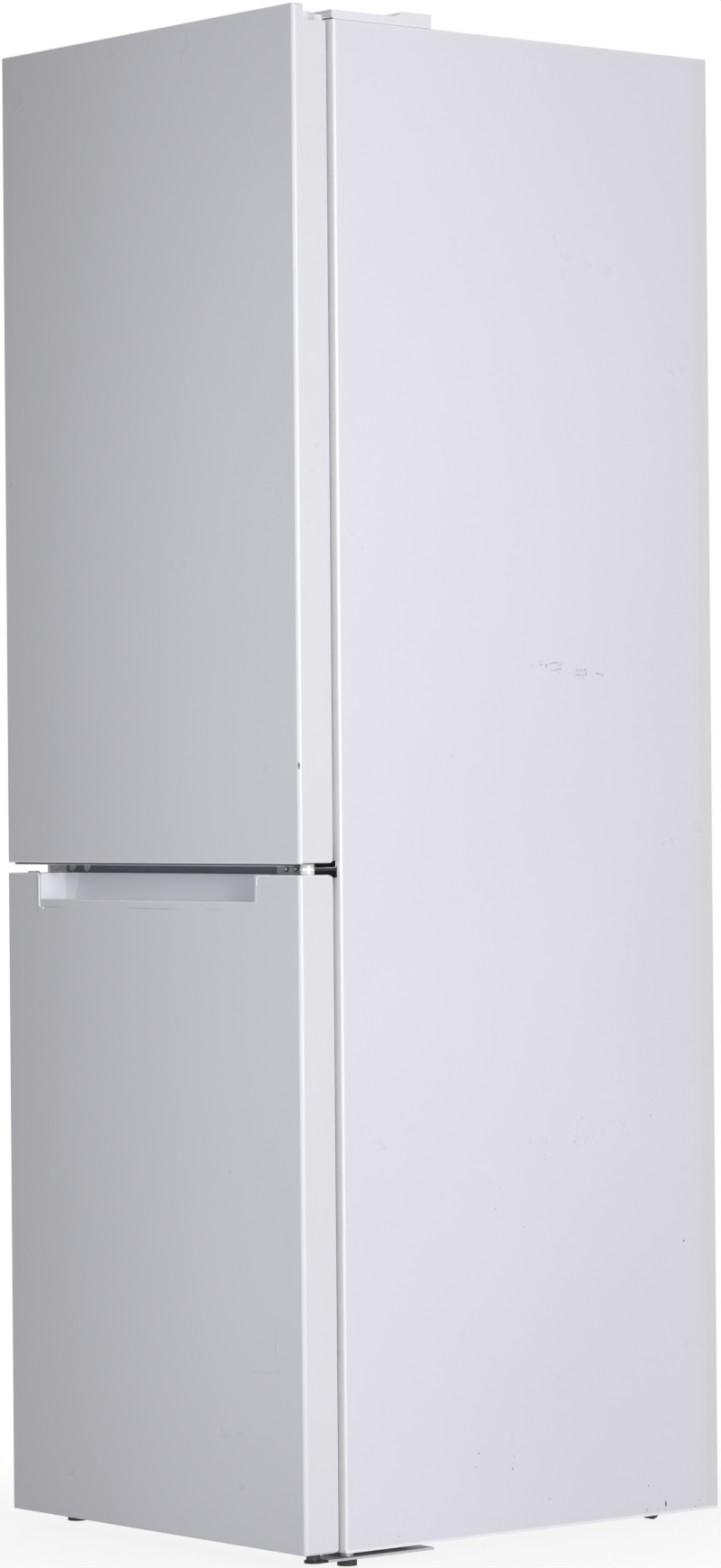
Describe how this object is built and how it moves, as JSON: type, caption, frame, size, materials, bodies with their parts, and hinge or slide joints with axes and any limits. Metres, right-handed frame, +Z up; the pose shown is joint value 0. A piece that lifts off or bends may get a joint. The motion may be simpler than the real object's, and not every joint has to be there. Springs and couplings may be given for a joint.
{
  "type": "fridge freezer",
  "caption": "Tall white free-standing fridge freezer: fridge door over freezer door with a finger recess, shelves, drawers, door bins and a compressor bay.",
  "frame": {"origin": "on the floor, under the middle of the whole appliance with its doors shut", "axes": "+Z up along the appliance's height, the doors face -Y, the hinges are on the +X side"},
  "size_m": [0.595, 0.668, 1.865],
  "materials": {
    "cabinet_steel": "satin",
    "door_steel": "satin",
    "plain_steel": "satin",
    "rail_steel": "satin",
    "hinge_steel": "satin",
    "black_enamel": "satin",
    "copper": "satin",
    "coil_aluminium": "satin",
    "foam": "matte",
    "liner_plastic": "gloss",
    "white_plastic": "satin",
    "nylon": "satin",
    "lamp_lens": "gloss",
    "clear_plastic": "gloss",
    "shelf_glass": "polished",
    "seal_rubber": "matte",
    "black_rubber": "matte",
    "black_plastic": "matte"
  },
  "bodies": {
    "cabinet": {"left_side_panel": "cabinet_steel", "right_side_panel": "cabinet_steel", "top_panel": "cabinet_steel", "back_panel": "plain_steel", "base_pan": "plain_steel", "compressor_base": "plain_steel", "insulation_foam": "foam", "fridge_liner": "liner_plastic", "freezer_liner": "liner_plastic", "middle_rail": "rail_steel", "compressor": "black_enamel", "compressor_grommets": "black_rubber", "start_relay_box": "black_plastic", "drip_tray": "black_plastic", "refrigerant_pipes": "copper", "cord_gland": "black_rubber", "top_hinge_bracket": "hinge_steel", "top_hinge_cover": "white_plastic", "middle_hinge_bracket": "hinge_steel", "bottom_hinge_bracket": "hinge_steel", "hinge_screws": "hinge_steel", "hinge_hole_plugs": "white_plastic", "control_box": "white_plastic", "led_lamp_lens": "lamp_lens", "air_duct_panel": "white_plastic", "fridge_shelves": "shelf_glass", "freezer_shelves": "shelf_glass", "shelf_trims": "white_plastic", "evaporator": "coil_aluminium", "freezer_back_cover": "white_plastic", "fan_motor": "black_plastic", "roller_axles": "hinge_steel"},
    "fridge_door": {"fridge_door_panel": "door_steel", "fridge_door_top_cap": "white_plastic", "fridge_door_bottom_cap": "white_plastic", "fridge_door_foam": "foam", "fridge_door_liner": "liner_plastic", "fridge_door_gasket": "seal_rubber", "fridge_door_bushings": "nylon", "door_bins": "clear_plastic", "bottle_bin": "clear_plastic"},
    "freezer_door": {"freezer_door_panel": "door_steel", "freezer_door_top_cap": "white_plastic", "freezer_door_bottom_cap": "white_plastic", "freezer_door_foam": "foam", "freezer_door_liner": "liner_plastic", "freezer_door_gasket": "seal_rubber", "freezer_door_bushings": "nylon", "handle_insert": "white_plastic"},
    "crisper": {"crisper_drawer": "clear_plastic"},
    "top_drawer": {"freezer_drawer_top": "clear_plastic"},
    "middle_drawer": {"freezer_drawer_middle": "clear_plastic"},
    "bottom_drawer": {"freezer_drawer_bottom": "clear_plastic"},
    "dial": {"temperature_dial": "white_plastic"},
    "fan": {"evaporator_fan": "white_plastic"},
    "left_foot": {"front_foot_left": "black_plastic"},
    "right_foot": {"front_foot_right": "black_plastic"},
    "left_roller": {"rear_roller_left": "black_plastic"},
    "right_roller": {"rear_roller_right": "black_plastic"}
  },
  "joints": [
    {"name": "fridge_door_hinge", "type": "hinge", "parent": "cabinet", "child": "fridge_door", "pos_m": [0.2775, -0.307, 1.35], "axis": [0, 0, 1], "range_deg": [0, 120]},
    {"name": "freezer_door_hinge", "type": "hinge", "parent": "cabinet", "child": "freezer_door", "pos_m": [0.2775, -0.307, 0.42], "axis": [0, 0, 1], "range_deg": [0, 120]},
    {"name": "crisper_slide", "type": "slide", "parent": "cabinet", "child": "crisper", "axis": [0, -1, 0], "range_m": [0, 0.2095]},
    {"name": "top_drawer_slide", "type": "slide", "parent": "cabinet", "child": "top_drawer", "axis": [0, -1, 0], "range_m": [0, 0.1781]},
    {"name": "middle_drawer_slide", "type": "slide", "parent": "cabinet", "child": "middle_drawer", "axis": [0, -1, 0], "range_m": [0, 0.1781]},
    {"name": "bottom_drawer_slide", "type": "slide", "parent": "cabinet", "child": "bottom_drawer", "axis": [0, -1, 0], "range_m": [0, 0.1781]},
    {"name": "temperature_dial_turn", "type": "hinge", "parent": "cabinet", "child": "dial", "pos_m": [0, -0.19, 1.777], "axis": [0, -1, 0], "range_deg": [0, 270]},
    {"name": "evaporator_fan_spin", "type": "hinge", "parent": "cabinet", "child": "fan", "pos_m": [0, 0.216, 0.69], "axis": [0, 1, 0], "continuous": true},
    {"name": "front_foot_left_turn", "type": "hinge", "parent": "cabinet", "child": "left_foot", "pos_m": [-0.2725, -0.251, 0.008], "axis": [0, 0, 1], "continuous": true},
    {"name": "front_foot_right_turn", "type": "hinge", "parent": "cabinet", "child": "right_foot", "pos_m": [0.2725, -0.251, 0.008], "axis": [0, 0, 1], "continuous": true},
    {"name": "rear_roller_left_spin", "type": "hinge", "parent": "cabinet", "child": "left_roller", "pos_m": [-0.2175, 0.29, 0.012], "axis": [1, 0, 0], "continuous": true},
    {"name": "rear_roller_right_spin", "type": "hinge", "parent": "cabinet", "child": "right_roller", "pos_m": [0.2175, 0.29, 0.012], "axis": [1, 0, 0], "continuous": true}
  ],
  "couplings": [
    {"joint": "crisper_slide", "follows": "fridge_door_hinge", "m_per_rad": 0.1},
    {"joint": "top_drawer_slide", "follows": "freezer_door_hinge", "m_per_rad": 0.085},
    {"joint": "middle_drawer_slide", "follows": "freezer_door_hinge", "m_per_rad": 0.085},
    {"joint": "bottom_drawer_slide", "follows": "freezer_door_hinge", "m_per_rad": 0.085}
  ]
}
